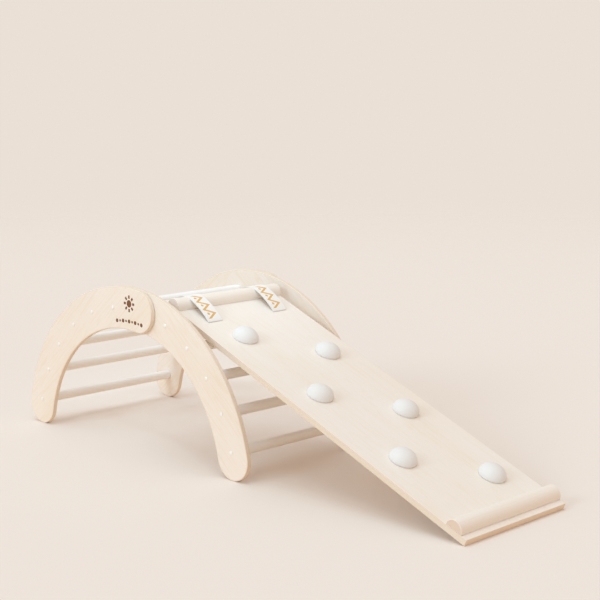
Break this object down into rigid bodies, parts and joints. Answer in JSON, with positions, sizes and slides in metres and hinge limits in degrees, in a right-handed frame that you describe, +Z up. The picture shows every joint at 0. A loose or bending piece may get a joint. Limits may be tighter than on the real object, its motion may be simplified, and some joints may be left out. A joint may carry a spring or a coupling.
{
  "type": "climbing arch with ramp",
  "caption": "Wooden climbing arch that folds at its crown, with round rungs between curved side panels, and a strapped-on ramp board with domed climbing holds.",
  "frame": {"origin": "on the floor, in the middle of the whole toy's length and width", "axes": "+X from the left half arch's foot to the ramp's foot, +Y from the front panels to the back panels, +Z up"},
  "size_m": [1.7815, 0.5402, 0.4987],
  "materials": {
    "birch_plywood": "clear matt varnish over pale birch plywood, layers showing at the edges",
    "birch_bar": "clear matt varnish over solid birch, long grain",
    "white_rung": "white satin paint over turned beech",
    "white_hold": "white satin paint over turned beech",
    "capped_screw": "zinc-plated screw under a satin white plastic cap",
    "steel_screw": "zinc-plated countersunk screw",
    "white_webbing": "white woven webbing"
  },
  "bodies": {
    "arch_left": {"left_panel_front": "birch_plywood", "left_panel_back": "birch_plywood", "left_rung_1": "white_rung", "left_rung_2": "white_rung", "left_rung_3": "white_rung", "left_rung_4": "white_rung", "left_rung_5": "white_rung", "left_rung_6": "white_rung", "left_rung_screw_front_1": "capped_screw", "left_rung_screw_front_2": "capped_screw", "left_rung_screw_front_3": "capped_screw", "left_rung_screw_front_4": "capped_screw", "left_rung_screw_front_5": "capped_screw", "left_rung_screw_front_6": "capped_screw", "left_rung_screw_back_1": "capped_screw", "left_rung_screw_back_2": "capped_screw", "left_rung_screw_back_3": "capped_screw", "left_rung_screw_back_4": "capped_screw", "left_rung_screw_back_5": "capped_screw", "left_rung_screw_back_6": "capped_screw"},
    "arch_right": {"right_panel_front": "birch_plywood", "right_panel_back": "birch_plywood", "right_rung_1": "white_rung", "right_rung_2": "white_rung", "right_rung_3": "white_rung", "right_rung_4": "white_rung", "right_rung_5": "white_rung", "pivot_rung": "white_rung", "right_rung_screw_front_1": "capped_screw", "right_rung_screw_front_2": "capped_screw", "right_rung_screw_front_3": "capped_screw", "right_rung_screw_front_4": "capped_screw", "right_rung_screw_front_5": "capped_screw", "right_rung_screw_back_1": "capped_screw", "right_rung_screw_back_2": "capped_screw", "right_rung_screw_back_3": "capped_screw", "right_rung_screw_back_4": "capped_screw", "right_rung_screw_back_5": "capped_screw"},
    "ramp": {"ramp_board": "birch_plywood", "ramp_bar_top": "birch_bar", "ramp_bar_foot": "birch_bar", "top_bar_screw_front": "steel_screw", "top_bar_screw_back": "steel_screw", "foot_bar_screw_front": "steel_screw", "foot_bar_screw_back": "steel_screw", "climbing_hold_1": "white_hold", "climbing_hold_2": "white_hold", "climbing_hold_3": "white_hold", "climbing_hold_4": "white_hold", "climbing_hold_5": "white_hold", "climbing_hold_6": "white_hold", "hold_screw_1": "steel_screw", "hold_screw_2": "steel_screw", "hold_screw_3": "steel_screw", "hold_screw_4": "steel_screw", "hold_screw_5": "steel_screw", "hold_screw_6": "steel_screw", "strap_front": "white_webbing", "strap_back": "white_webbing"}
  },
  "joints": [
    {"name": "fold", "type": "hinge", "parent": "arch_left", "child": "arch_right", "pos_m": [-0.30611, 0, 0.43102], "axis": [0, 1, 0], "range_deg": [0, 90]},
    {"name": "ramp_tilt", "type": "hinge", "parent": "arch_left", "child": "ramp", "pos_m": [-0.30611, 0, 0.43102], "axis": [0, -1, 0], "range_deg": [0, 45]}
  ]
}
